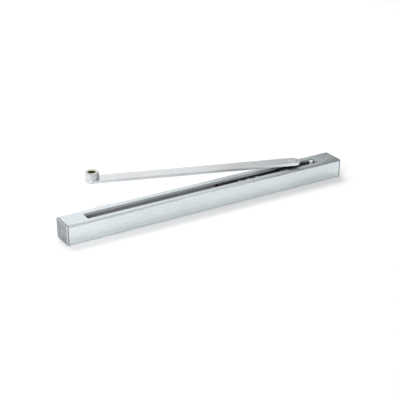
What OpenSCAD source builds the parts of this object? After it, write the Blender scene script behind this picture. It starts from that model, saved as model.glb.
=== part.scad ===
// Slim surface-mounted door closer: a gas spring in a slotted aluminium box pushes a carriage,
// and the carriage carries one end of a flat arm whose other end turns on a pin at the frame.
// +X runs along the box towards the closed end of the travel, +Y towards the door leaf and +Z
// up, out of the slot. The origin is the centre of the underside of the box.

/* [Housing] */
// Length over both end caps
body_len = 440; // [436:1:460]
// Depth of the box, from the door leaf to the front
body_w = 34; // [34:0.5:38]
// Height of the box
body_h = 27.5; // [27.5:0.5:32]
// Radius of the two long edges at the front
edge_r = 3; // [1.6:0.1:3.2]
// Radius of the two long edges next to the door leaf
back_r = 0.8; // [0.4:0.1:1.4]
// Wall of the clip-on cover
cover_t = 1.5; // [1.2:0.1:1.8]
// Wall of the screwed-on rail
rail_t = 2.5; // [2:0.1:3]
// Thickness of the rail's slotted top flange
flange_t = 1.8; // [1.4:0.1:2]

/* [Slot] */
// Length of the slot
slot_len = 372; // [368:1:374]
// Width of the slot in the cover
slot_w = 16; // [16:0.1:17]
// Distance of the slot's centre line behind the middle of the box
slot_y = 0; // [-0.3:0.1:0.5]
// How far the rail's flange stands into the slot on each side
guide_lip = 0.4; // [0:0.1:0.5]

/* [End caps] */
// Thickness of an end cap
cap_t = 3; // [2.5:0.1:4]
// Bevel round an end cap's outer face
cap_bevel = 1.2; // [0.6:0.1:1.6]
// Length of an end block
block_len = 26; // [26:0.5:28]

/* [Door fixing] */
// Distance between the fixing screws along the box
fix_dx = 408; // [406:1:410]
// Distance between the fixing screws across the box
fix_dz = 13; // [12.6:0.1:13]
// Diameter of a fixing screw's hole
fix_d = 4.5; // [4:0.1:5]
// Diameter of the recess for a fixing screw's head
fix_head_d = 8.4; // [7.5:0.1:8.4]

/* [Gas spring] */
// Outer diameter of the tube
tube_d = 12; // [11:0.5:12]
// Wall of the tube
tube_t = 1; // [0.8:0.1:1.2]
// Right-hand end of the tube
tube_right = 16; // [10:0.5:16]
// Length of the tube
tube_len = 198; // [196:1:200]
// Height of the tube's axis above the underside
tube_z = 9.5; // [9.5:0.1:10]
// Diameter of the piston rod
rod_d = 4; // [3:0.5:5]
// Travel of the carriage
stroke = 150; // [120:1:150]

/* [Carriage] */
// Left-hand end of the carriage
car_left = 20; // [18:1:30]
// Right-hand end of the carriage's top
car_right = 184; // [182:0.5:184]
// Diameter of a guide roller
roller_d = 7; // [6:0.5:7]
// Height of a guide roller
roller_h = 3.7; // [3:0.1:3.7]
// Place of the coupling pin along the box
pin_x = 178; // [177:0.5:179]
// Diameter of the coupling pin
pin_d = 5; // [4:0.5:5]
// How far the coupling pin stands above the box
pin_proud = 1; // [0:0.1:2]

/* [Arm] */
// Place of the arm's pivot along the box
pivot_x = 144.4; // [140:0.1:146]
// Distance between the pivot and the boss
arm_len = 293; // [280:1:300]
// Width of the flat bar
arm_w = 21.5; // [18:0.5:24]
// Thickness of the flat bar
arm_t = 4; // [3:0.5:5]
// Gap between the box and the arm
arm_gap = 4.2; // [3:0.1:4.5]
// Angle between the arm and the box
arm_angle = 18; // [0:1:90]
// Outer diameter of the boss
boss_d = 20; // [19:0.5:22]
// Height of the boss
boss_h = 15; // [12:0.5:18]
// How far the boss stands out below the flat bar
boss_drop = 1; // [0:0.5:1.5]
// Bore of the brass bush in the boss
bush_d = 11; // [10:0.1:12]
// Wall of the brass bush in the boss
bush_t = 2; // [1.5:0.1:2.5]

/* [Hidden] */
$fn = 64;

eps = 0.01;                  // overshoot of a cut past a face
fit = 0.05;                  // radial clearance of a turning fit
play = 0.1;                  // gap between two pieces that are put together by hand
half_len = body_len / 2;
half_w = body_w / 2;
inner_end = half_len - cap_t;            // where the profiles end and the caps begin
cover_front = -half_w + cover_t;         // inside of the cover's front wall
cover_hook = 5;                          // width of the cover's lip under the rail
rail_top = body_h - cover_t - play;      // top of the rail
flange_z = rail_top - flange_t;          // underside of the slotted flange
rail_back = half_w - rail_t;             // inside of the rail's back wall
rail_front = cover_front + play;         // front of the rail's two front lips
lip_t = 1.5;                             // thickness of the rail's front lips
lip_in = rail_front + lip_t;             // inside of the front lips
low_lip_z = 6.5;                         // top of the lower front lip
high_lip_z = 17.2;                       // bottom of the upper front lip

block_x = inner_end - block_len;         // inner face of an end block
block_front = lip_in + play;
fix_z = 13.25;                           // mid height of the fixing screws
fix_wall = 10;                           // block material under a fixing screw's head
cap_screw_d = 4;
cap_screw_head_d = 7.6;
cap_screw_len = 12;
cap_screw_z = body_h / 2;
block_screw_d = 4;
block_screw_head_d = 7.2;
block_screw_len = 9;
block_screw_dx = 7;                      // from the fixing screws' line to a block screw

tube_left = tube_right - tube_len;
tube_r = tube_d / 2;
bore_r = tube_r - tube_t;
plug_len = 10;
stud_d = 6;
stud_len = 16;
nut_h = 4.5;
nut_af = 10;
guide_len = 9;
seal_len = 3;
ring_wire = 1;
piston_len = 8;
piston_x = tube_left + plug_len + stroke + 0.5;    // left face of the piston at rest
rod_end_x = 168;                         // left face of the rod end

car_top = flange_z - 0.4;                // top of the carriage plate
plate_t = 1.6;
saddle_top = car_top - plate_t;
deck_z = tube_z + tube_r + 0.9;          // underside of the saddle's deck
leg_z = 5;                               // bottom of the saddle's legs
saddle_back = rail_back - 0.8;
saddle_front = lip_in + 0.8;
roller_r = roller_d / 2;
roller_gap = 0.1;                        // between a roller and the wall it runs on
roller_xs = [car_left + 18, pivot_x + 18.6];
roller_back_y = rail_back - roller_r - roller_gap;
roller_front_y = lip_in + roller_r + roller_gap;
roller_z = deck_z + 1.8;                 // underside of a roller
roller_pin_d = 2.5;
plate_w = 14.6;
plate_screw_xs = [car_left + 33, car_left + 47.5, car_left + 62, pivot_x - 20, pivot_x + 18.6];
shoe_left = pivot_x - 26;
shoe_right = pivot_x + 27.6;
shoe_h = 1.6;
collar_r = 6.5;
clevis_w = 15;
eye_w = 10;                              // width of the rod end's eye
eye_t = 5;                               // thickness of the rod end's eye
buffer_gap = 0.4;                        // free gap before the closed stop
buffer_r = 5;

arm_z = body_h + arm_gap;                // underside of the arm
pivot_d = 8;
pivot_bush_t = 1;
washer_t = 0.5;

// Profile in the box's cross-section, drawn as (y, z) and run along X from x0 to x1
module along_x(x0, x1)
    translate([x0, 0, 0]) rotate([90, 0, 90]) linear_extrude(x1 - x0) children();

// Round rod along X, from x0 to x1, about the gas spring's axis
module axis_rod(x0, x1, r)
    translate([x0, slot_y, tube_z]) rotate([0, 90, 0]) cylinder(h = x1 - x0, r = r);

// Puts something on the gas spring's axis, with its own Z along the box
module on_axis(x)
    translate([x, slot_y, tube_z]) rotate([0, 90, 0]) children();

// Section of the box as (y, z), pulled in by inset on all sides
module box_outline(inset = 0) {
    w = body_w - 2 * inset;
    h = body_h - 2 * inset;
    translate([-w / 2 + edge_r, inset]) square([w - edge_r - back_r, h]);
    translate([-w / 2, inset + edge_r]) square([edge_r, h - 2 * edge_r]);
    translate([w / 2 - back_r, inset + back_r]) square([back_r, h - 2 * back_r]);
    for (z = [inset + edge_r, inset + h - edge_r])
        translate([-w / 2 + edge_r, z]) circle(edge_r);
    for (z = [inset + back_r, inset + h - back_r])
        translate([w / 2 - back_r, z]) circle(back_r);
}

// Box cut out along the slot, narrowed by lip on each side
module slot_cut(z0, z1, lip = 0)
    translate([-slot_len / 2 + lip, slot_y - slot_w / 2 + lip, z0])
        cube([slot_len - 2 * lip, slot_w - 2 * lip, z1 - z0]);

// Countersunk screw pointing along -Z with its flat top at z = 0 and a hexagon socket in it
module flat_screw(d, head_d, len, socket) {
    head_h = (head_d - d) / 2;
    difference() {
        union() {
            translate([0, 0, -head_h]) cylinder(h = head_h, r1 = d / 2, r2 = head_d / 2);
            translate([0, 0, -len]) cylinder(h = len - head_h, r = d / 2);
        }
        translate([0, 0, -head_h]) cylinder(h = head_h + eps, d = socket, $fn = 6);
    }
}

// Seat for flat_screw, a little wider than the screw all round
module flat_screw_seat(d, head_d, len) {
    head_h = (head_d - d) / 2;
    translate([0, 0, -head_h - play])
        cylinder(h = head_h, r1 = d / 2 + play, r2 = head_d / 2 + play);
    translate([0, 0, -play - eps]) cylinder(h = 1, r = head_d / 2 + play);
    translate([0, 0, -len - play]) cylinder(h = len, r = d / 2 + play);
}

// Housing ---------------------------------------------------------------------------------

module mounting_rail() color("lightsteelblue") {
    difference() {
        along_x(-inner_end, inner_end) difference() {
            intersection() {
                box_outline();
                translate([rail_front, 0]) square([half_w - rail_front, rail_top]);
            }
            translate([lip_in, rail_t]) square([rail_back - lip_in, flange_z - rail_t]);
            translate([rail_front - eps, low_lip_z])
                square([lip_t + 2 * eps, high_lip_z - low_lip_z]);
            translate([-half_w, -eps])
                square([cover_t + cover_hook + play, cover_t + play + eps]);
        }
        slot_cut(flange_z - 1, body_h, guide_lip);
        fixing_holes();
        block_screw_seats();
    }
}

module cover_profile() color("silver") difference() {
    along_x(-inner_end, inner_end) difference() {
        box_outline();
        translate([cover_front, cover_t]) square([body_w, body_h - 2 * cover_t]);
        translate([cover_front + cover_hook, -eps]) square([body_w, cover_t + 2 * eps]);
    }
    slot_cut(body_h - cover_t - 1, body_h + 1);
}

// End cap with its plate between x = 0 and x = cap_t, bevelled on the outside
module end_cap() difference() {
    hull() {
        along_x(0, cap_t - cap_bevel) box_outline($fn = 32);
        along_x(cap_t - 0.05, cap_t) box_outline(cap_bevel, $fn = 32);
    }
    translate([cap_t, 0, cap_screw_z]) rotate([0, 90, 0])
        flat_screw_seat(cap_screw_d, cap_screw_head_d, cap_screw_len);
}

module left_end_cap() color("silver") translate([-inner_end, 0, 0]) mirror([1, 0, 0]) end_cap();

module right_end_cap() color("silver") translate([inner_end, 0, 0]) end_cap();

module end_cap_screws() color("gainsboro") for (side = [0, 1]) mirror([side, 0, 0])
    translate([half_len, 0, cap_screw_z]) rotate([0, 90, 0])
        flat_screw(cap_screw_d, cap_screw_head_d, cap_screw_len, 2.5);

// Holes for the screws that hold the box on the door, open to the back
module fixing_holes()
    for (x = [-fix_dx / 2, fix_dx / 2], z = [fix_z - fix_dz / 2, fix_z + fix_dz / 2])
        translate([x, half_w + 1, z]) rotate([90, 0, 0]) {
            cylinder(h = body_w, d = fix_d);
            translate([0, 0, rail_t + fix_wall + 1]) cylinder(h = body_w, d = fix_head_d);
        }

// Places the screws that hold the end blocks, pointing forward from the back face
module at_block_screws()
    for (side = [-1, 1], dx = [-block_screw_dx, block_screw_dx])
        translate([side * fix_dx / 2 + dx, half_w, fix_z]) rotate([-90, 0, 0]) children();

module block_screw_seats()
    at_block_screws() flat_screw_seat(block_screw_d, block_screw_head_d, block_screw_len);

module end_block_screws() color("gainsboro")
    at_block_screws() flat_screw(block_screw_d, block_screw_head_d, block_screw_len, 2.5);

// End block on the right-hand side; the left-hand one is its mirror image
module end_block() difference() {
    translate([block_x, block_front, rail_t])
        cube([block_len, rail_back - block_front, flange_z - rail_t]);
    fixing_holes();
    block_screw_seats();
    translate([half_len, 0, cap_screw_z]) rotate([0, 90, 0])
        flat_screw_seat(cap_screw_d, cap_screw_head_d, cap_screw_len);
}

module left_end_block() color("dimgray") difference() {
    mirror([1, 0, 0]) end_block();
    axis_rod(tube_left - stud_len - play, -block_x + 1, stud_d / 2 + fit);
}

module right_end_block() color("dimgray") difference() {
    end_block();
    axis_rod(block_x - eps, block_x + 5, 2);
}

module closed_buffer() color("black") {
    axis_rod(car_right + buffer_gap, block_x, buffer_r);
    axis_rod(block_x - eps, block_x + 5, 2);
}

// Gas spring ------------------------------------------------------------------------------

module gas_tube() color("darkslategray") difference() {
    axis_rod(tube_left, tube_right, tube_r);
    axis_rod(tube_left - 1, tube_right + 1, bore_r);
}

module tube_end_plug() color("gray") {
    axis_rod(tube_left, tube_left + plug_len, bore_r);
    axis_rod(tube_left - stud_len, tube_left + eps, stud_d / 2);
}

module anchor_nut() color("gainsboro") difference() {
    on_axis(-block_x + 0.2) cylinder(h = nut_h, d = nut_af / cos(30), $fn = 6);
    axis_rod(-block_x, -block_x + nut_h + 1, stud_d / 2 + fit);
}

module rod_guide() color("burlywood") difference() {
    axis_rod(tube_right - ring_wire - guide_len, tube_right - ring_wire - play, bore_r);
    axis_rod(tube_left, tube_right, rod_d / 2 + fit);
}

module rod_seal() color("black") difference() {
    axis_rod(tube_right - ring_wire - guide_len - seal_len,
             tube_right - ring_wire - guide_len, bore_r);
    axis_rod(tube_left, tube_right, rod_d / 2 + fit);
}

// Wire ring that keeps the guide in the tube
module guide_ring() color("gainsboro") on_axis(tube_right - ring_wire / 2)
    rotate_extrude() translate([bore_r - ring_wire / 2, 0]) circle(d = ring_wire, $fn = 24);

module tube_cradles() color("white") for (x = [tube_left + 14, tube_right - 24])
    difference() {
        translate([x, slot_y - tube_r + 0.5, rail_t]) cube([14, tube_d - 1, tube_z - rail_t - 2]);
        axis_rod(x - 1, x + 15, tube_r + fit);
    }

// Carriage --------------------------------------------------------------------------------

// Pocket in the saddle for a roller, open towards the wall that the roller runs on
module roller_pocket(x, y, out) {
    room = roller_r + 0.7;
    translate([x - room, min(y - out * room, y + out * 20), roller_z - 0.3])
        cube([2 * room, room + 20, roller_h + 0.6]);
}

module carriage_saddle() color("#202224") difference() {
    union() {
        translate([car_left, saddle_front, deck_z])
            cube([car_right - car_left, saddle_back - saddle_front, saddle_top - deck_z]);
        translate([car_left, saddle_front + 1.4, leg_z])
            cube([car_right - car_left, slot_y - tube_r - 1.1 - saddle_front - 1.4,
                  deck_z - leg_z + eps]);
        translate([car_left, slot_y + tube_r + 1.1, leg_z])
            cube([car_right - car_left, saddle_back - slot_y - tube_r - 1.1,
                  deck_z - leg_z + eps]);
        translate([rod_end_x, slot_y - clevis_w / 2, leg_z])
            cube([car_right - rod_end_x, clevis_w, deck_z - leg_z + eps]);
    }
    translate([rod_end_x - eps, slot_y - eye_w / 2 - 0.2, tube_z - eye_t / 2 - 0.2])
        cube([car_right - rod_end_x + 1, eye_w + 0.4, eye_t + 0.4]);
    for (x = roller_xs) {
        roller_pocket(x, roller_back_y, 1);
        roller_pocket(x, roller_front_y, -1);
        for (y = [roller_back_y, roller_front_y])
            translate([x, y, deck_z - 1]) cylinder(h = 12, d = roller_pin_d + 2 * fit);
    }
    for (x = plate_screw_xs)
        translate([x, slot_y, car_top]) flat_screw_seat(3, 5.6, 7);
    translate([pivot_x, slot_y, deck_z - 1]) cylinder(h = 10, d = pivot_d + 2 * fit);
    translate([pin_x, slot_y, 0]) cylinder(h = body_h, d = pin_d + 2 * fit);
}

module carriage_plate() color("#3a3c3e") difference() {
    translate([car_left, slot_y - plate_w / 2, saddle_top])
        cube([car_right - car_left, plate_w, plate_t]);
    for (x = plate_screw_xs)
        translate([x, slot_y, car_top]) flat_screw_seat(3, 5.6, 7);
    translate([pivot_x, slot_y, saddle_top - 1])
        cylinder(h = plate_t + 2, d = pivot_d + 2 * fit);
    translate([pin_x, slot_y, saddle_top - 1]) cylinder(h = plate_t + 2, d = pin_d + 2 * fit);
}

module carriage_screws() color("gainsboro") for (x = plate_screw_xs)
    translate([x, slot_y, car_top]) flat_screw(3, 5.6, 7, 2);

// Guide block in the slot, round the pivot's collar
module slot_shoe() color("#303234") difference() {
    translate([shoe_left, slot_y - plate_w / 2, car_top])
        cube([shoe_right - shoe_left, plate_w, shoe_h]);
    translate([pivot_x, slot_y, car_top - 1]) cylinder(h = shoe_h + 2, r = collar_r + play);
    for (x = plate_screw_xs)
        translate([x, slot_y, car_top - 1]) cylinder(h = shoe_h + 2, d = 6.4);
}

module pivot_collar() color("#2a2c2e") difference() {
    translate([pivot_x, slot_y, car_top]) cylinder(h = arm_z - washer_t - car_top, r = collar_r);
    translate([pivot_x, slot_y, car_top - 1]) cylinder(h = 20, d = pivot_d + 2 * fit);
}

module thrust_washer() color("ivory") difference() {
    translate([pivot_x, slot_y, arm_z - washer_t]) cylinder(h = washer_t - 0.1, r = 7.5);
    translate([pivot_x, slot_y, arm_z - 1]) cylinder(h = 2, d = pivot_d + 2 * fit);
}

// Pressed into the saddle, with a low riveted head over the arm
module pivot_pin() color("lightgray") {
    translate([pivot_x, slot_y, deck_z])
        cylinder(h = arm_z + arm_t + 0.1 - deck_z + eps, d = pivot_d);
    translate([pivot_x, slot_y, arm_z + arm_t + 0.1]) cylinder(h = 0.4, r = 5.6);
    translate([pivot_x, slot_y, arm_z + arm_t + 0.5]) cylinder(h = 0.4, r1 = 5.6, r2 = 5);
}

module coupling_pin() color("white") difference() {
    translate([pin_x, slot_y, leg_z - 1]) {
        cylinder(h = body_h + pin_proud - leg_z + 0.5, d = pin_d);
        translate([0, 0, body_h + pin_proud - leg_z + 0.5])
            cylinder(h = 0.5, d1 = pin_d, d2 = pin_d - 1);
    }
    translate([pin_x, slot_y, leg_z - 0.7]) difference() {
        cylinder(h = 0.7, d = pin_d + 1);
        translate([0, 0, -1]) cylinder(h = 3, d = pin_d - 1);
    }
}

// Open retaining ring in the groove at the foot of the coupling pin
module coupling_pin_ring() color("dimgray") difference() {
    translate([pin_x, slot_y, leg_z - 0.65]) cylinder(h = 0.6, d = pin_d + 3);
    translate([pin_x, slot_y, leg_z - 2]) cylinder(h = 4, d = pin_d - 1 + 2 * fit);
    translate([pin_x, slot_y - 1, leg_z - 2]) cube([10, 2, 4]);
}

// Flat eye that is screwed on the rod and held between the saddle's cheeks by the pin
module rod_end() color("gainsboro") difference() {
    intersection() {
        translate([rod_end_x + 0.3, slot_y - eye_w / 2, tube_z - eye_t / 2])
            cube([car_right - rod_end_x - 0.6, eye_w, eye_t]);
        union() {
            translate([pin_x, slot_y, 0]) cylinder(h = body_h, d = eye_w);
            translate([rod_end_x, slot_y - eye_w / 2, 0])
                cube([pin_x - rod_end_x, eye_w, body_h]);
        }
    }
    translate([pin_x, slot_y, 0]) cylinder(h = body_h, d = pin_d + 2 * fit);
    axis_rod(rod_end_x, rod_end_x + 6, rod_d / 2 + fit);
}

module piston_rod() color("white") axis_rod(piston_x + 1, rod_end_x + 6, rod_d / 2);

// Piston with a groove for its ring
module piston() color("gray") difference() {
    axis_rod(piston_x, piston_x + piston_len, bore_r - 0.15);
    difference() {
        axis_rod(piston_x + 3, piston_x + 5.4, bore_r + 1);
        axis_rod(piston_x + 2, piston_x + 7, bore_r - 1.4);
    }
    axis_rod(piston_x + 1, piston_x + 20, rod_d / 2 + fit);
}

module piston_ring() color("black") difference() {
    axis_rod(piston_x + 3.1, piston_x + 5.3, bore_r - fit);
    axis_rod(piston_x + 2, piston_x + 7, bore_r - 1.4 + fit);
}

module roller_pins() color("gainsboro") for (x = roller_xs, y = [roller_back_y, roller_front_y])
    translate([x, y, deck_z + 0.2]) cylinder(h = saddle_top - deck_z - 0.3, d = roller_pin_d);

module roller(x, y) translate([x, y, roller_z]) difference() {
    cylinder(h = roller_h, r = roller_r);
    translate([0, 0, -1]) cylinder(h = roller_h + 2, d = roller_pin_d + 2 * fit);
}

module roller_back_left() color("ivory") roller(roller_xs[0], roller_back_y);
module roller_back_right() color("ivory") roller(roller_xs[1], roller_back_y);
module roller_front_left() color("ivory") roller(roller_xs[0], roller_front_y);
module roller_front_right() color("ivory") roller(roller_xs[1], roller_front_y);

// Arm -------------------------------------------------------------------------------------

// Turns a piece drawn with the pivot at the origin and the arm along -X to its place
module on_arm()
    translate([pivot_x, slot_y, arm_z]) rotate([0, 0, -arm_angle]) children();

module arm_bar() color("silver") on_arm() difference() {
    union() {
        cylinder(h = arm_t, d = arm_w);
        translate([-arm_len, -arm_w / 2, 0]) cube([arm_len, arm_w, arm_t]);
    }
    translate([0, 0, -1]) cylinder(h = arm_t + 2, r = pivot_d / 2 + fit + pivot_bush_t);
    translate([-arm_len, 0, -1]) cylinder(h = arm_t + 2, d = boss_d);
    translate([-arm_len - boss_d, -arm_w, -1]) cube([boss_d, 2 * arm_w, arm_t + 2]);
}

module arm_boss() color("gainsboro") on_arm() translate([-arm_len, 0, -boss_drop])
    difference() {
        cylinder(h = boss_h, d = boss_d);
        translate([0, 0, -1]) cylinder(h = boss_h + 2, r = bush_d / 2 + bush_t);
    }

module boss_bush() color("gold") on_arm() translate([-arm_len, 0, -boss_drop])
    difference() {
        cylinder(h = boss_h, r = bush_d / 2 + bush_t);
        translate([0, 0, -1]) cylinder(h = boss_h + 2, d = bush_d);
    }

module pivot_bush() color("goldenrod") on_arm() difference() {
    cylinder(h = arm_t, r = pivot_d / 2 + fit + pivot_bush_t);
    translate([0, 0, -1]) cylinder(h = arm_t + 2, r = pivot_d / 2 + fit);
}

mounting_rail();
cover_profile();
left_end_cap();
right_end_cap();
end_cap_screws();
left_end_block();
right_end_block();
end_block_screws();
closed_buffer();
gas_tube();
tube_end_plug();
anchor_nut();
rod_guide();
rod_seal();
guide_ring();
tube_cradles();
carriage_saddle();
carriage_plate();
carriage_screws();
slot_shoe();
pivot_collar();
thrust_washer();
pivot_pin();
coupling_pin();
coupling_pin_ring();
rod_end();
piston_rod();
piston();
piston_ring();
roller_pins();
roller_back_left();
roller_back_right();
roller_front_left();
roller_front_right();
arm_bar();
arm_boss();
boss_bush();
pivot_bush();
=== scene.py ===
import bmesh
import bpy
import math
from mathutils import Matrix, Vector


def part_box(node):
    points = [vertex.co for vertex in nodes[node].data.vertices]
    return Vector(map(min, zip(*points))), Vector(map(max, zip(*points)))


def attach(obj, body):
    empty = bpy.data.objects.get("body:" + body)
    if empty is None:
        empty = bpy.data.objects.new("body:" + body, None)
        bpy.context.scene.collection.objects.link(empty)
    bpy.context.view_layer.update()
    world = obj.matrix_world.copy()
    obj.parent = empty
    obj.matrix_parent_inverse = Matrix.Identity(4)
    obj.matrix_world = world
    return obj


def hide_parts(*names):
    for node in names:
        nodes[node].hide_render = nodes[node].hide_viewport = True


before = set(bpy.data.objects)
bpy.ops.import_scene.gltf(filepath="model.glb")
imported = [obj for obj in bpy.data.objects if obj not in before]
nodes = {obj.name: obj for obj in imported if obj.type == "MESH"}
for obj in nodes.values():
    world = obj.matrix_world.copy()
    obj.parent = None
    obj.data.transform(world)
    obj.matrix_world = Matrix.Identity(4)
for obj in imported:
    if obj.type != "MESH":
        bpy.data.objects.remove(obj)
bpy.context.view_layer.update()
mm = 0.001
scene = bpy.context.scene
scene.view_settings.view_transform = "Standard"
print("frame loaded:", len(nodes), "nodes")


# ---- view, floor and lights

view = {"target": (-0.01313, 0, 0.0097), "azimuth": -30.83, "elevation": 24.88,
        "distance": 1.3, "lens": 84.22}


def lookFrom(thing, place, target):
    thing.location = place
    thing.rotation_euler = (Vector(target) - Vector(place)).to_track_quat("-Z", "Y").to_euler()


def placeAround(target, azimuth, elevation, distance):
    turn, tilt = math.radians(azimuth), math.radians(elevation)
    away = Vector((math.sin(turn) * math.cos(tilt), -math.cos(turn) * math.cos(tilt),
                   math.sin(tilt)))
    return Vector(target) + away * distance


cameraData = bpy.data.cameras.new("camera")
cameraData.lens = view["lens"]
camera = bpy.data.objects.new("camera", cameraData)
scene.collection.objects.link(camera)
lookFrom(camera, placeAround(view["target"], view["azimuth"], view["elevation"],
                             view["distance"]), view["target"])
scene.camera = camera

room = {"sky": 0.62, "dimSide": 0.15, "fade": (0.35, 0.8),  # the sky is dimmer towards +X
        "half": 6.0, "drop": 0.05}  # half of the floor's side in m, its drop under the box in mm
world = bpy.data.worlds.new("studio")
world.use_nodes = True
background = world.node_tree.nodes["Background"]
background.inputs["Color"].default_value = (1, 1, 1, 1)
direction = world.node_tree.nodes.new("ShaderNodeTexCoord")
sideways = world.node_tree.nodes.new("ShaderNodeSeparateXYZ")
fade = world.node_tree.nodes.new("ShaderNodeMapRange")
fade.inputs["From Min"].default_value, fade.inputs["From Max"].default_value = room["fade"]
fade.inputs["To Min"].default_value = room["sky"]
fade.inputs["To Max"].default_value = room["dimSide"]
world.node_tree.links.new(direction.outputs["Object"], sideways.inputs["Vector"])
world.node_tree.links.new(sideways.outputs["X"], fade.inputs["Value"])
world.node_tree.links.new(fade.outputs["Result"], background.inputs["Strength"])
scene.world = world

softboxes = {  # watts are worked out from the glow that each box should have
    "backTop": {"at": (0.1, 0.95, 1.15), "aim": (0.1, 0.95, 0), "size": (1.2, 0.8), "glow": 5.5},
    "backPanel": {"at": (0.57, 2.1, 1.15), "aim": (0, 0, 0), "size": (1.5, 1.1), "glow": 0.5},
    "backLeft": {"at": (-1.0, 1.85, 0.75), "aim": (-0.2, 0, 0), "size": (0.9, 0.6), "glow": 1.5},
    "frontLow": {"at": (0.47, -1.06, 0.31), "aim": (0, 0, 0), "size": (0.6, 0.4), "glow": 1.4},
    "topRight": {"at": (0.6, -0.12, 1.05), "aim": (0, 0, 0), "size": (1.0, 0.5), "glow": 0.5},
    "leftBox": {"at": (-0.75, -0.5, 0.5), "aim": (-0.2, 0, 0), "size": (0.4, 0.4), "glow": 8},
}
for name, box in softboxes.items():
    lightData = bpy.data.lights.new(name, "AREA")
    lightData.shape = "RECTANGLE"
    lightData.size, lightData.size_y = box["size"]
    lightData.energy = box["glow"] * math.pi * box["size"][0] * box["size"][1]
    light = bpy.data.objects.new(name, lightData)
    light.visible_camera = False
    light.visible_glossy = name != "backTop"  # it only fills, so that the flat tops stay satin
    scene.collection.objects.link(light)
    lookFrom(light, box["at"], box["aim"])


# ---- finishes: colours are linear, and a small stretch draws the grain out along that axis

def addPattern(tree, stretch, scale, detail=3.0, turn=0.0):  # turn: the grain's angle from +X
    place = tree.nodes.new("ShaderNodeTexCoord")
    mapping = tree.nodes.new("ShaderNodeMapping")
    mapping.vector_type = "TEXTURE"
    mapping.inputs["Rotation"].default_value = (0, 0, math.radians(turn))
    mapping.inputs["Scale"].default_value = [1 / share for share in stretch]
    noise = tree.nodes.new("ShaderNodeTexNoise")
    noise.inputs["Scale"].default_value = scale
    noise.inputs["Detail"].default_value = detail
    tree.links.new(place.outputs["Object"], mapping.inputs["Vector"])
    tree.links.new(mapping.outputs["Vector"], noise.inputs["Vector"])
    return noise.outputs[0]


def spreadValue(tree, value, low, high):  # noise stays near its middle, so that part is spread
    spread = tree.nodes.new("ShaderNodeMapRange")
    spread.inputs["From Min"].default_value = 0.3
    spread.inputs["From Max"].default_value = 0.7
    spread.inputs["To Min"].default_value = low
    spread.inputs["To Max"].default_value = high
    tree.links.new(value, spread.inputs["Value"])
    return spread.outputs["Result"]


def mixColours(tree, value, first, second):
    ramp = tree.nodes.new("ShaderNodeValToRGB")
    ramp.color_ramp.elements[0].position = 0.35
    ramp.color_ramp.elements[1].position = 0.65
    ramp.color_ramp.elements[0].color = (*first, 1)
    ramp.color_ramp.elements[1].color = (*second, 1)
    tree.links.new(value, ramp.inputs["Fac"])
    return ramp.outputs["Color"]


def edgeMask(tree, radius, sharpness):  # near 1 on an edge, where the colour is lighter: wear on the black parts, a painted highlight on the arm
    rounded = tree.nodes.new("ShaderNodeBevel")
    rounded.samples = 4
    rounded.inputs["Radius"].default_value = radius * mm
    surface = tree.nodes.new("ShaderNodeNewGeometry")
    compare = tree.nodes.new("ShaderNodeVectorMath")
    compare.operation = "DOT_PRODUCT"
    tree.links.new(rounded.outputs["Normal"], compare.inputs[0])
    tree.links.new(surface.outputs["Normal"], compare.inputs[1])
    mask = tree.nodes.new("ShaderNodeMapRange")
    mask.inputs["From Min"].default_value = 1.0
    mask.inputs["From Max"].default_value = 1.0 - sharpness
    tree.links.new(compare.outputs["Value"], mask.inputs["Value"])
    return mask.outputs["Result"]


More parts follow.
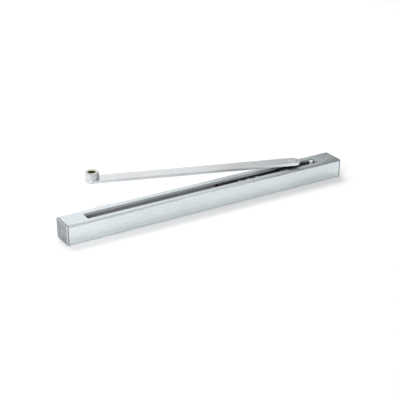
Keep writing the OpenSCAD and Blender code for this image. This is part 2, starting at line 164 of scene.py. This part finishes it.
finishes = {
    "satinAluminium": {"metallic": 0.8, "colours": ((0.64, 0.69, 0.715), (0.685, 0.735, 0.76)),
                       "rough": (0.24, 0.30), "stretch": (0.02, 1, 1), "scale": 2600,
                       "bump": 0.03, "cloud": 14},
    # the caps' colour is darker than the cover's aluminium: painted shade on the end faces turned
    # away from the light
    "capAluminiumPaintedShade": {"metallic": 0.8, "colours": ((0.22, 0.24, 0.25), (0.33, 0.35, 0.365)),
                     "rough": (0.40, 0.56), "stretch": (1, 1, 1), "scale": 1500,
                     "bump": 0.22, "cloud": 160},
    "cutAluminium": {"metallic": 0.8, "colours": ((0.48, 0.49, 0.50), (0.58, 0.59, 0.60)),
                     "rough": (0.26, 0.40), "stretch": (1, 1, 0.1), "scale": 1500,
                     "bump": 0.10, "cloud": 90},
    "railAluminium": {"metallic": 0.3, "colours": ((0.64, 0.655, 0.67), (0.72, 0.735, 0.75)),
                      "rough": (0.40, 0.55), "stretch": (0.02, 1, 1), "scale": 1700,
                      "bump": 0.10, "cloud": 18},
    "armSilver": {"metallic": 0.8, "colours": ((0.71, 0.73, 0.74), (0.77, 0.79, 0.80)),
                  "rough": (0.26, 0.36), "stretch": (0.02, 1, 1), "scale": 2200,
                  "bump": 0.07, "cloud": 22, "turn": -18},
    "turnedSteel": {"metallic": 0.9, "colours": ((0.62, 0.645, 0.65), (0.67, 0.69, 0.695)),
                    "rough": (0.20, 0.30), "stretch": (0.02, 0.02, 1), "scale": 2600,
                    "bump": 0.05, "cloud": 40},
    "brass": {"metallic": 0.9, "colours": ((0.68, 0.66, 0.46), (0.78, 0.76, 0.56)),
              "rough": (0.24, 0.38), "stretch": (0.05, 0.05, 1), "scale": 2400,
              "bump": 0.15, "cloud": 90},
    # near-black bronze for the bush's bore: painted shade inside the hole
    "boreBronzePaintedShade": {"metallic": 0.6, "colours": ((0.085, 0.082, 0.045), (0.12, 0.115, 0.065)),
                    "rough": (0.45, 0.60), "stretch": (1, 1, 0.2), "scale": 1800,
                    "bump": 0.15, "cloud": 120},
    "zincSteel": {"metallic": 0.85, "colours": ((0.32, 0.33, 0.34), (0.42, 0.43, 0.44)),
                  "rough": (0.36, 0.52), "stretch": (1, 1, 1), "scale": 900,
                  "bump": 0.10, "cloud": 220},
    "hardChrome": {"metallic": 1.0, "colours": ((0.86, 0.87, 0.88), (0.92, 0.92, 0.93)),
                   "rough": (0.16, 0.26), "stretch": (0.05, 1, 1), "scale": 2200,
                   "bump": 0.04, "cloud": 120},
    # a near-white, mostly diffuse colour for the steel coupling pin: painted highlight, so that it
    # shows bright inside the dark slot
    "brightPin": {"metallic": 0.2, "colours": ((0.84, 0.84, 0.84), (0.92, 0.92, 0.92)),
                  "rough": (0.24, 0.36), "stretch": (1, 1, 0.1), "scale": 1800,
                  "bump": 0.04, "cloud": 160},
    "dieCast": {"metallic": 0.85, "colours": ((0.17, 0.175, 0.18), (0.24, 0.245, 0.25)),
                "rough": (0.42, 0.60), "stretch": (1, 1, 1), "scale": 800,
                "bump": 0.30, "cloud": 90},
    "tubeEnamel": {"metallic": 0.0, "colours": ((0.012, 0.012, 0.014), (0.022, 0.022, 0.025)),
                   "rough": (0.22, 0.34), "stretch": (1, 1, 1), "scale": 700,
                   "bump": 0.06, "cloud": 40},
    "blackPlastic": {"metallic": 0.0, "colours": ((0.007, 0.007, 0.008), (0.014, 0.014, 0.015)),
                     "rough": (0.48, 0.64), "stretch": (1, 1, 1), "scale": 2200,
                     "bump": 0.25, "cloud": 120, "gloss": 0.15},
    "blackenedSteel": {"metallic": 0.2, "colours": ((0.009, 0.009, 0.010), (0.018, 0.018, 0.019)),
                       "rough": (0.44, 0.60), "stretch": (0.2, 1, 1), "scale": 1400,
                       "bump": 0.12, "cloud": 150, "gloss": 0.15},
    "acetal": {"metallic": 0.0, "colours": ((0.60, 0.58, 0.51), (0.68, 0.66, 0.60)),
               "rough": (0.34, 0.48), "stretch": (1, 1, 1), "scale": 900,
               "bump": 0.06, "cloud": 120},
    "blackRubber": {"metallic": 0.0, "colours": ((0.010, 0.010, 0.010), (0.020, 0.020, 0.020)),
                    "rough": (0.60, 0.80), "stretch": (1, 1, 1), "scale": 1600,
                    "bump": 0.22, "cloud": 150},
    "machinedAluminium": {"metallic": 1.0, "colours": ((0.52, 0.53, 0.54), (0.60, 0.61, 0.62)),
                          "rough": (0.22, 0.36), "stretch": (1, 0.05, 0.05), "scale": 2200,
                          "bump": 0.12, "cloud": 80},
}
edgeWearAndHighlight = {"armSilver": (0.4, 0.25, (0.80, 0.82, 0.84)),  # radius in mm, sharpness, edge colour; the arm's lighter edges are a painted highlight, the black parts' lighter edges are wear
        "blackenedSteel": (0.3, 0.25, (0.06, 0.06, 0.062)),
        "blackPlastic": (0.3, 0.3, (0.022, 0.022, 0.023))}


grainDepth = 0.05


def makeFinish(name, recipe):
    finish = bpy.data.materials.new(name)
    finish.use_nodes = True
    tree = finish.node_tree
    shader = tree.nodes["Principled BSDF"]
    shader.inputs["Metallic"].default_value = recipe["metallic"]
    shader.inputs["Specular IOR Level"].default_value = recipe.get("gloss", 0.5)
    cloud = addPattern(tree, (1, 1, 1), recipe["cloud"], 4.0)
    grain = addPattern(tree, recipe["stretch"], recipe["scale"], turn=recipe.get("turn", 0))
    colour = mixColours(tree, cloud, *recipe["colours"])
    # lighter edges: a painted highlight on the arm, wear on the black parts
    if name in edgeWearAndHighlight:
        radius, sharpness, edgeWearAndHighlightColour = edgeWearAndHighlight[name]
        blend = tree.nodes.new("ShaderNodeMix")
        blend.data_type = "RGBA"
        tree.links.new(edgeMask(tree, radius, sharpness), blend.inputs["Factor"])
        tree.links.new(colour, blend.inputs["A"])
        blend.inputs["B"].default_value = (*edgeWearAndHighlightColour, 1)
        colour = blend.outputs["Result"]
    tree.links.new(colour, shader.inputs["Base Color"])
    tree.links.new(spreadValue(tree, grain, *recipe["rough"]), shader.inputs["Roughness"])
    bump = tree.nodes.new("ShaderNodeBump")
    bump.inputs["Strength"].default_value = recipe["bump"]
    bump.inputs["Distance"].default_value = grainDepth * mm
    tree.links.new(grain, bump.inputs["Height"])
    tree.links.new(bump.outputs["Normal"], shader.inputs["Normal"])
    return finish


finishOf = {name: makeFinish(name, recipe) for name, recipe in finishes.items()}

floorRecipe = {"metallic": 0.0, "colours": ((0.91, 0.91, 0.91), (0.93, 0.93, 0.93)),
               "rough": (0.7, 0.8), "stretch": (1, 1, 1), "scale": 40, "bump": 0.02, "cloud": 3}
floorMesh = bmesh.new()
bmesh.ops.create_grid(floorMesh, x_segments=1, y_segments=1, size=room["half"])
bmesh.ops.translate(floorMesh, vec=(0, 0, -room["drop"] * mm), verts=floorMesh.verts)
floorData = bpy.data.meshes.new("floor")
floorMesh.to_mesh(floorData)
floorMesh.free()
floorData.materials.append(makeFinish("paleFloor", floorRecipe))
floor = bpy.data.objects.new("floor", floorData)
scene.collection.objects.link(floor)
print("camera, lights, floor and finishes are ready")


# ---- helpers: pieces are built in millimetres and brought to metres when they are put down

sharpAngle = math.radians(30)
flatAngle = math.radians(0.6)
weld = {"built": 0.0005, "copied": 0.002, "degenerate": 0.0002}  # merging distances


def boxOf(node):
    low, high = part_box(node)
    return low / mm, high / mm


def middleOf(node):
    low, high = boxOf(node)
    return (low + high) / 2


def spanOf(node, along):  # foot on the axis, length and outer radius of a round node
    low, high = boxOf(node)
    index = "XYZ".index(along)
    foot = (low + high) / 2
    foot[index] = low[index]
    size = high - low
    return foot, size[index], max(size[i] for i in range(3) if i != index) / 2


def softenEdges(bm, width, segments=2):
    sharp = [e for e in bm.edges if e.is_manifold and e.calc_face_angle(0) > sharpAngle]
    if sharp and width:
        bmesh.ops.bevel(bm, geom=sharp, offset=width, segments=segments, profile=0.5,
                        affect="EDGES", clamp_overlap=True, material=-1)


def putDown(bm, name, looks, body, node):  # looks: one finish, or several by face index
    bmesh.ops.remove_doubles(bm, verts=bm.verts, dist=weld["built"])
    bmesh.ops.dissolve_degenerate(bm, edges=bm.edges, dist=weld["degenerate"])
    bmesh.ops.recalc_face_normals(bm, faces=bm.faces)
    for face in bm.faces:
        face.smooth = True
    bmesh.ops.scale(bm, vec=(mm, mm, mm), verts=bm.verts)
    data = bpy.data.meshes.new(name)
    bm.to_mesh(data)
    bm.free()
    for finish in [looks] if isinstance(looks, str) else looks:
        data.materials.append(finishOf[finish])
    piece = bpy.data.objects.new(name, data)
    scene.collection.objects.link(piece)
    flats = piece.modifiers.new("flats", "WEIGHTED_NORMAL")
    flats.weight = 80
    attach(piece, body)
    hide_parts(node)


def turnOutline(bm, outline, steps=72):  # outline of (radius, height) round the Z axis
    points = [bm.verts.new((radius, 0, height)) for radius, height in outline]
    chain = [bm.edges.new(pair) for pair in zip(points, points[1:])]
    if outline[0][0] > 0:
        chain.append(bm.edges.new((points[-1], points[0])))
    bmesh.ops.spin(bm, geom=points + chain, cent=(0, 0, 0), axis=(0, 0, 1),
                   angle=math.tau, steps=steps, use_merge=True)
    bmesh.ops.remove_doubles(bm, verts=bm.verts, dist=weld["built"])


def layAlong(bm, along, foot):
    if along == "X":
        bmesh.ops.rotate(bm, cent=(0, 0, 0), matrix=Matrix.Rotation(math.pi / 2, 3, "Y"),
                         verts=bm.verts)
    bmesh.ops.translate(bm, vec=foot, verts=bm.verts)


def turnedPiece(node, name, finish, body, along, outline, soft=0.15):
    foot, length, radius = spanOf(node, along)
    bm = bmesh.new()
    turnOutline(bm, outline(length, radius))
    softenEdges(bm, soft)
    layAlong(bm, along, foot)
    putDown(bm, name, finish, body, node)


def copyOf(node, soft, segments=2):  # a copy of a node with its flats joined and edges softened
    bm = bmesh.new()
    bm.from_mesh(nodes[node].data)
    bmesh.ops.scale(bm, vec=(1 / mm, 1 / mm, 1 / mm), verts=bm.verts)
    bmesh.ops.remove_doubles(bm, verts=bm.verts, dist=weld["copied"])
    bmesh.ops.dissolve_limit(bm, angle_limit=flatAngle, verts=bm.verts, edges=bm.edges)
    softenEdges(bm, soft, segments)
    return bm


def growRing(bm, ring, ratio, rise):  # draws a ring of edges along Z and scales its new end
    made = bmesh.ops.extrude_edge_only(bm, edges=ring)["geom"]
    points = {g for g in made if isinstance(g, bmesh.types.BMVert)}
    bmesh.ops.scale(bm, vec=(ratio, ratio, 1), verts=list(points))
    bmesh.ops.translate(bm, vec=(0, 0, rise), verts=list(points))
    return [g for g in made if isinstance(g, bmesh.types.BMEdge) and set(g.verts) <= points]


def addRing(bm, radius, segments):
    points = bmesh.ops.create_circle(bm, cap_ends=False, radius=radius, segments=segments)["verts"]
    return list({e for p in points for e in p.link_edges})


# ---- box: cover, rail, end caps, end blocks and their screws

cover = {"wall": 1.5, "hook": 5.0, "corner": 3.0, "backCorner": 0.8, "slotLength": 372.0,
         "slotWidth": 16.0, "slotMiddle": 0.0, "slotCorner": 0.8, "arris": 0.15, "endArris": 0.35}
near = 0.01  # how closely a point has to lie on a plane to count as on it


def topFaces(bm, bottom):  # the top wall's flat faces, its outer and its inner ones
    return [f for f in bm.faces if abs(f.normal.z) > 0.99
            and f.calc_center_median().z > bottom - near]


def roundCover(bm, low, high):
    for y, z, radius in ((low.y, low.z, cover["corner"]), (low.y, high.z, cover["corner"]),
                         (high.y, high.z, cover["backCorner"])):
        edge = [e for e in bm.edges
                if all(abs(v.co.y - y) + abs(v.co.z - z) < near for v in e.verts)]
        bmesh.ops.bevel(bm, geom=edge, offset=radius, segments=8, profile=0.5,
                        affect="EDGES", clamp_overlap=True, material=-1)
    ends = [e for e in bm.edges if e.verts[0].co.x == e.verts[1].co.x
            and all(v.co.y <= low.y + cover["corner"] or v.co.z >= high.z - cover["corner"]
                    for v in e.verts)
            and any(abs(f.normal.x) < 0.3 and (f.normal.y < -0.1 or f.normal.z > 0.1)
                    for f in e.link_faces)]
    bmesh.ops.bevel(bm, geom=ends, offset=cover["endArris"], segments=2, profile=0.5,
                    affect="EDGES", clamp_overlap=True, material=-1)


def cutSlot(bm, bottom):  # bottom: height of the top wall's inner face
    halfLong, halfWide = cover["slotLength"] / 2, cover["slotWidth"] / 2
    middle = cover["slotMiddle"]
    cuts = [((-halfLong, 0, 0), (1, 0, 0)), ((halfLong, 0, 0), (1, 0, 0)),
            ((0, middle - halfWide, 0), (0, 1, 0)), ((0, middle + halfWide, 0), (0, 1, 0))]
    for spot, across in cuts:
        top = topFaces(bm, bottom)
        geom = set(top) | {e for f in top for e in f.edges} | {v for f in top for v in f.verts}
        bmesh.ops.bisect_plane(bm, geom=list(geom), dist=0.0001, plane_co=spot, plane_no=across)
        bm.normal_update()
    opening = [f for f in topFaces(bm, bottom) if abs(f.calc_center_median().x) < halfLong
               and abs(f.calc_center_median().y - middle) < halfWide]
    bmesh.ops.delete(bm, geom=opening, context="FACES_ONLY")
    bmesh.ops.bridge_loops(bm, edges=[e for e in bm.edges if e.is_boundary])
    corners = [e for e in bm.edges
               if abs(e.verts[0].co.z - e.verts[1].co.z) > cover["wall"] * 0.9
               and abs(abs(e.verts[0].co.x) - halfLong) < near
               and abs(e.verts[0].co.x - e.verts[1].co.x) < near]
    bmesh.ops.bevel(bm, geom=corners, offset=cover["slotCorner"], segments=5, profile=0.5,
                    affect="EDGES", clamp_overlap=True, material=-1)


def makeCover():
    low, high = boxOf("cover_profile")
    wall = cover["wall"]
    front = low.y + wall
    section = [(low.y, low.z), (low.y, high.z), (high.y, high.z), (high.y, high.z - wall),
               (front, high.z - wall), (front, low.z + wall),
               (front + cover["hook"], low.z + wall), (front + cover["hook"], low.z)]
    bm = bmesh.new()
    end = bm.faces.new([bm.verts.new((low.x, y, z)) for y, z in section])
    drawn = bmesh.ops.extrude_face_region(bm, geom=[end])["geom"]
    bmesh.ops.translate(bm, vec=(high.x - low.x, 0, 0),
                        verts=[g for g in drawn if isinstance(g, bmesh.types.BMVert)])
    roundCover(bm, low, high)
    cutSlot(bm, high.z - wall)
    softenEdges(bm, cover["arris"])
    putDown(bm, "cover", "satinAluminium", "housing", "cover_profile")


cap = {"corners": {-1: 3.0, 1: 0.8}, "bevel": 1.2, "recess": 3.92, "recessDepth": 2.4,
       "floorShare": 0.55, "joint": 0.35, "arris": 0.1}  # corners: radius at the front and back


def makeCap(node, name, outward):
    low, high = boxOf(node)
    size = high - low
    bm = bmesh.new()
    bmesh.ops.create_cube(bm, size=1)
    bmesh.ops.scale(bm, vec=(size.z, size.y, size.x), verts=bm.verts)
    bmesh.ops.translate(bm, vec=(0, 0, -size.x / 2), verts=bm.verts)
    for side, radius in cap["corners"].items():
        upright = [e for e in bm.edges if abs(e.verts[0].co.z - e.verts[1].co.z) > size.x / 2
                   and min(v.co.y * side for v in e.verts) > size.y / 2 - near]
        bmesh.ops.bevel(bm, geom=upright, offset=radius, segments=8, profile=0.5,
                        affect="EDGES", material=-1)
    inner = min(bm.faces, key=lambda f: f.calc_center_median().z)
    bmesh.ops.bevel(bm, geom=list(inner.edges), offset=cap["joint"], segments=2, profile=0.5,
                    affect="EDGES", material=-1)
    outer = max(bm.faces, key=lambda f: f.calc_center_median().z)
    bmesh.ops.bevel(bm, geom=list(outer.edges), offset=cap["bevel"], segments=1, profile=0.5,
                    affect="EDGES", material=-1)
    bm.normal_update()
    for face in bm.faces:
        face.material_index = int(0.3 < face.normal.z < 0.9)  # the bevel is cut bright, and the cap's other faces take the darker colour, which is painted shade
    outer = max(bm.faces, key=lambda f: f.calc_center_median().z)
    bmesh.ops.delete(bm, geom=[outer], context="FACES_ONLY")
    border = [e for e in bm.edges if e.is_boundary]
    hole = addRing(bm, cap["recess"], 48)
    bmesh.ops.triangle_fill(bm, edges=border + hole, use_beauty=True, normal=(0, 0, 1))
    bottom = growRing(bm, hole, cap["floorShare"], -cap["recessDepth"])
    bmesh.ops.contextual_create(bm, geom=bottom)
    softenEdges(bm, cap["arris"])
    bmesh.ops.rotate(bm, cent=(0, 0, 0), verts=bm.verts,
                     matrix=Matrix.Rotation(outward * math.pi / 2, 3, "Y"))
    middle = middleOf(node)
    bmesh.ops.translate(bm, verts=bm.verts,
                        vec=(middle.x + outward * size.x / 2, middle.y, middle.z))
    putDown(bm, name, ("capAluminiumPaintedShade", "cutAluminium"), "housing", node)


screwCut = {"rim": 0.12, "point": 0.5, "pointIn": 0.4,  # small cuts that every screw has
            "drill": 0.3, "drillShare": 0.2}


def addScrew(bm, screw, spot):  # flush screw that points along -Z, then moved to its spot
    before = set(bm.verts)
    headRadius, shankRadius = screw["head"] / 2, screw["shank"] / 2
    coneDepth = headRadius - shankRadius
    rimCut, point = screwCut["rim"], screwCut["point"]
    rim = addRing(bm, headRadius - rimCut, 48)
    socket = addRing(bm, screw["socket"] / 2 / math.cos(math.pi / 6), 6)
    bmesh.ops.triangle_fill(bm, edges=rim + socket, use_beauty=True, normal=(0, 0, 1))
    floorRing = growRing(bm, socket, 1, -screw["socketDepth"])
    tipRing = growRing(bm, floorRing, screwCut["drillShare"], -screwCut["drill"])
    bmesh.ops.contextual_create(bm, geom=tipRing)
    ring = growRing(bm, rim, headRadius / (headRadius - rimCut), -rimCut)
    ring = growRing(bm, ring, shankRadius / headRadius, rimCut - coneDepth)
    ring = growRing(bm, ring, 1, coneDepth + point - screw["length"])
    ring = growRing(bm, ring, 1 - screwCut["pointIn"] / shankRadius, -point)
    bmesh.ops.contextual_create(bm, geom=ring)
    made = [v for v in bm.verts if v not in before]
    bmesh.ops.transform(bm, matrix=spot, verts=made)


capScrew = {"head": 7.6, "shank": 4.0, "length": 12.0, "socket": 2.5, "socketDepth": 1.5}
blockScrew = {"head": 7.2, "shank": 4.0, "length": 9.0, "socket": 2.5, "socketDepth": 1.3,
              "across": (-211, -197, 197, 211)}


def makeBoxScrews():
    bm = bmesh.new()
    low, high = boxOf("end_cap_screws")
    middle = (low + high) / 2
    for outward, x in ((-1, low.x), (1, high.x)):
        turn = Matrix.Rotation(outward * math.pi / 2, 4, "Y")
        addScrew(bm, capScrew, Matrix.Translation((x, middle.y, middle.z)) @ turn)
    putDown(bm, "capScrews", "zincSteel", "housing", "end_cap_screws")
    bm = bmesh.new()
    low, high = boxOf("end_block_screws")
    turn = Matrix.Rotation(-math.pi / 2, 4, "X")
    for x in blockScrew["across"]:
        addScrew(bm, blockScrew, Matrix.Translation((x, high.y, (low.z + high.z) / 2)) @ turn)
    putDown(bm, "blockScrews", "zincSteel", "housing", "end_block_screws")


makeCover()
makeCap("left_end_cap", "leftCap", -1)
makeCap("right_end_cap", "rightCap", 1)
makeBoxScrews()
putDown(copyOf("mounting_rail", 0.15), "rail", "railAluminium", "housing",
        "mounting_rail")
for side in ("left", "right"):
    putDown(copyOf(side + "_end_block", 0.3), side + "Block", "dieCast", "housing",
            side + "_end_block")
print("box made")


# ---- gas spring, from the anchored end to the rod

tube = {"wall": 1.0, "grooveDepth": 0.35, "grooveHalf": 0.9, "grooveFromEnd": 5.5}
plug = {"stud": 3.0, "body": 10.0, "grooveTop": 3.5, "grooveFoot": 6.5, "grooveDepth": 0.8,
        "grooveSlope": 0.5}
buffer = {"chamfer": 1.2, "spigot": 2.0, "spigotLength": 5.0, "waistDepth": 0.6,
          "waist": (0.55, 0.65, 0.8, 0.9)}  # where the waist starts and ends, as shares
piston = {"grooveFoot": 3.0, "grooveTop": 5.4, "grooveDepth": 1.25}
rod = {"bore": 2.05, "chamfer": 0.4}  # bore: of the pieces that the rod goes through
seal = {"straight": 0.4, "taper": 0.2}
pistonRing = {"bore": 3.65}


def tubeOutline(length, radius):
    middle, half = length - tube["grooveFromEnd"], tube["grooveHalf"]
    deep = radius - tube["grooveDepth"]
    inner = radius - tube["wall"]
    return [(radius, 0), (radius, middle - 2 * half), (deep, middle - half),
            (deep, middle + half), (radius, middle + 2 * half), (radius, length),
            (inner, length), (inner, 0)]


def plugOutline(length, radius):
    stud, slope = plug["stud"], plug["grooveSlope"]
    deep = radius - plug["grooveDepth"]
    shoulder = length - plug["body"]
    low, top = length - plug["grooveFoot"], length - plug["grooveTop"]
    return [(0, 0), (stud, 0), (stud, shoulder), (radius, shoulder), (radius, low),
            (deep, low + slope), (deep, top - slope), (radius, top), (radius, length),
            (0, length)]


def sleeveOutline(bore):  # a plain sleeve or washer of the node's own length and radius
    return lambda length, radius: [(bore, 0), (radius, 0), (radius, length), (bore, length)]


def ringOutline(length, radius):
    wire = length / 2
    angles = [i * math.tau / 16 for i in range(16)]
    return [(radius - wire + wire * math.cos(a), wire + wire * math.sin(a)) for a in angles]


def bufferOutline(length, radius):
    spigot, chamfer = buffer["spigot"], buffer["chamfer"]
    body = length - buffer["spigotLength"]
    waist = radius - buffer["waistDepth"]
    first, second, third, last = [share * body for share in buffer["waist"]]
    return [(0, 0), (radius - chamfer, 0), (radius, chamfer), (radius, first), (waist, second),
            (waist, third), (radius, last), (radius, body), (spigot, body), (spigot, length),
            (0, length)]


def pistonOutline(length, radius):
    bore, groove = rod["bore"], radius - piston["grooveDepth"]
    low, top = piston["grooveFoot"], piston["grooveTop"]
    return [(bore, 0), (radius, 0), (radius, low), (groove, low), (groove, top), (radius, top),
            (radius, length), (bore, length)]


def sealOutline(length, radius):
    bore = rod["bore"]
    return [(bore, 0), (radius, 0), (radius, length * seal["straight"]),
            (radius - seal["taper"], length), (bore, length)]


def rodOutline(length, radius):
    chamfer = rod["chamfer"]
    return [(0, 0), (radius - chamfer, 0), (radius, chamfer), (radius, length - chamfer),
            (radius - chamfer, length), (0, length)]


turnedPiece("gas_tube", "gasTube", "tubeEnamel", "housing", "X", tubeOutline, 0.25)
turnedPiece("tube_end_plug", "tubePlug", "machinedAluminium", "housing", "X",
            plugOutline)
turnedPiece("rod_guide", "rodGuide", "brass", "housing", "X",
            sleeveOutline(rod["bore"]), 0.2)
turnedPiece("rod_seal", "rodSeal", "blackRubber", "housing", "X", sealOutline, 0.1)
turnedPiece("guide_ring", "guideRing", "zincSteel", "housing", "X", ringOutline, 0)
turnedPiece("closed_buffer", "buffer", "blackRubber", "housing", "X", bufferOutline,
            0.25)
turnedPiece("piston", "piston", "machinedAluminium", "carriage", "X",
            pistonOutline)
turnedPiece("piston_ring", "pistonRing", "blackRubber", "carriage", "X",
            sleeveOutline(pistonRing["bore"]), 0.1)
turnedPiece("piston_rod", "pistonRod", "hardChrome", "carriage", "X", rodOutline,
            0.08)
putDown(copyOf("anchor_nut", 0.35), "anchorNut", "zincSteel", "housing",
        "anchor_nut")
putDown(copyOf("tube_cradles", 0.4), "tubeCradles", "acetal", "housing",
        "tube_cradles")
print("gas spring made")


# ---- carriage: saddle, plate, slot shoe, rollers and pins

plateScrew = {"head": 5.6, "shank": 3.0, "length": 7.0, "socket": 2.0, "socketDepth": 1.0,
              "places": (53, 67.5, 82, 124.4, 163)}
roller = {"crown": 0.15, "crownShare": 0.3, "bore": 1.3, "dish": 0.35, "dishInner": 1.9,
          "dishOuter": 2.9}
rollerPin = {"shank": 1.25, "chamfer": 0.2}
collar = {"bore": 4.05, "chamfer": 0.6}
pivotPin = {"shank": 4.0, "chamfer": 0.4, "head": 0.8, "edge": 0.45, "crown": 0.1,
            "flat": 1.2, "round": 0.5, "dimple": 1.9, "dimpleFloor": 1.5, "dimpleDepth": 0.3,
            "dimpleMiddle": 0.35}
couplingPin = {"shank": 2.5, "groove": 2.0, "grooveFoot": 0.3, "grooveTop": 1.0, "chamfer": 0.5,
               "footChamfer": 0.4, "step": 0.01}


def rollerOutline(length, radius):
    bore, dish = roller["bore"], roller["dish"]
    inner, outer = roller["dishInner"], roller["dishOuter"]
    shoulder, crown = radius - roller["crown"], length * roller["crownShare"]
    return [(bore, 0), (inner, 0), (inner, dish), (outer, dish), (outer, 0), (shoulder, 0),
            (radius, crown), (radius, length - crown), (shoulder, length), (outer, length),
            (outer, length - dish), (inner, length - dish), (inner, length), (bore, length)]


def collarOutline(length, radius):
    bore, chamfer = collar["bore"], collar["chamfer"]
    return [(bore, 0), (radius, 0), (radius, length - chamfer), (radius - chamfer, length),
            (bore, length)]


def pivotPinOutline(length, radius):  # shank, then the low riveted head with its dimple
    pin = pivotPin
    shank, chamfer, headFoot = pin["shank"], pin["chamfer"], length - pin["head"]
    return [(0, 0), (shank - chamfer, 0), (shank, chamfer), (shank, headFoot),
            (radius, headFoot), (radius, length - pin["edge"]),
            (radius - pin["round"], length - pin["crown"]), (radius - pin["flat"], length),
            (pin["dimple"], length), (pin["dimpleFloor"], length - pin["dimpleDepth"]),
            (0, length - pin["dimpleMiddle"])]


def couplingPinOutline(length, radius):  # with the groove for its ring near the foot
    pin = couplingPin
    shank, groove, step = pin["shank"], pin["groove"], pin["step"]
    foot, top = pin["grooveFoot"], pin["grooveTop"]
    return [(0, 0), (shank - pin["footChamfer"], 0), (shank, foot), (groove, foot + step),
            (groove, top), (shank, top + step), (shank, length - pin["chamfer"]),
            (shank - pin["chamfer"], length), (0, length)]


def makeCarriageScrews():
    bm = bmesh.new()
    low, high = boxOf("carriage_screws")
    for x in plateScrew["places"]:
        addScrew(bm, plateScrew, Matrix.Translation((x, (low.y + high.y) / 2, high.z)))
    putDown(bm, "plateScrews", "zincSteel", "carriage", "carriage_screws")


def makeRollerPins(rollers):
    foot, length = spanOf("roller_pins", "Z")[:2]
    shank, chamfer = rollerPin["shank"], rollerPin["chamfer"]
    bm = bmesh.new()
    for node in rollers:
        before = set(bm.verts)
        turnOutline(bm, [(0, 0), (shank - chamfer, 0), (shank, chamfer),
                         (shank, length - chamfer), (shank - chamfer, length), (0, length)], 32)
        middle = middleOf(node)
        bmesh.ops.translate(bm, vec=(middle.x, middle.y, foot.z),
                            verts=[v for v in bm.verts if v not in before])
    putDown(bm, "rollerPins", "zincSteel", "carriage", "roller_pins")


putDown(copyOf("carriage_saddle", 0.35), "saddle", "blackPlastic", "carriage",
        "carriage_saddle")
putDown(copyOf("carriage_plate", 0.2), "carriagePlate", "blackenedSteel", "carriage",
        "carriage_plate")
putDown(copyOf("slot_shoe", 0.25), "slotShoe", "blackPlastic", "carriage",
        "slot_shoe")
putDown(copyOf("rod_end", 0.4), "rodEnd", "zincSteel", "carriage", "rod_end")
putDown(copyOf("coupling_pin_ring", 0.08), "pinRing", "zincSteel", "carriage",
        "coupling_pin_ring")
makeCarriageScrews()
turnedPiece("pivot_collar", "pivotCollar", "blackenedSteel", "carriage", "Z",
            collarOutline, 0.12)
turnedPiece("thrust_washer", "thrustWasher", "acetal", "carriage", "Z",
            sleeveOutline(collar["bore"]), 0.06)
turnedPiece("pivot_pin", "pivotPin", "armSilver", "carriage", "Z",
            pivotPinOutline, 0.06)
turnedPiece("coupling_pin", "couplingPin", "brightPin", "carriage", "Z",
            couplingPinOutline, 0.06)
rollerNodes = [f"roller_{row}_{end}" for row in ("back", "front") for end in ("left", "right")]
makeRollerPins(rollerNodes)
for node in rollerNodes:
    row, end = node.split("_")[1:]
    turnedPiece(node, row + end.capitalize() + "Roller", "acetal", node, "Z",
                rollerOutline, 0.1)
print("carriage made")


# ---- arm: flat bar, boss with its bush, and the bush on the pivot pin

boss = {"bore": 7.5, "rim": 0.7, "grooveAt": 0.34, "grooveDepth": 0.25, "grooveFloor": 0.4,
        "grooveSlope": 0.3}
bush = {"bore": 5.5, "mouth": 0.6, "sunk": 0.1}
pivotBushWall = 1.0


def bossOutline(length, radius):
    rim, bore, slope = boss["rim"], boss["bore"], boss["grooveSlope"]
    deep, low = radius - boss["grooveDepth"], length * boss["grooveAt"]
    top = low + slope + boss["grooveFloor"]
    return [(bore, 0), (radius - rim, 0), (radius, rim), (radius, low), (deep, low + slope),
            (deep, top), (radius, top + slope), (radius, length - rim), (radius - rim, length),
            (bore, length)]


def bushOutline(length, radius):
    bore, mouth, top = bush["bore"], bush["mouth"], length - bush["sunk"]
    return [(bore + mouth, 0), (radius, 0), (radius, top), (bore + mouth, top),
            (bore, top - mouth), (bore, mouth)]


def pivotBushOutline(length, radius):
    bore = radius - pivotBushWall
    return [(bore, 0), (radius, 0), (radius, length), (bore, length)]


def makeBossBush():
    foot, length, radius = spanOf("boss_bush", "Z")
    bm = bmesh.new()
    turnOutline(bm, bushOutline(length, radius))
    for face in bm.faces:
        fromAxis = face.calc_center_median().xy.length
        face.material_index = int(fromAxis < bush["bore"] + 0.05)  # the bore gets a near-black colour, painted shade inside the hole
    softenEdges(bm, 0.12)
    layAlong(bm, "Z", foot)
    putDown(bm, "bossBush", ("brass", "boreBronzePaintedShade"), "arm", "boss_bush")


putDown(copyOf("arm_bar", 0.5, 3), "armBar", "armSilver", "arm", "arm_bar")
turnedPiece("arm_boss", "armBoss", "turnedSteel", "arm", "Z", bossOutline, 0.12)
turnedPiece("pivot_bush", "pivotBush", "brass", "arm", "Z", pivotBushOutline, 0.1)
makeBossBush()
print("arm made")
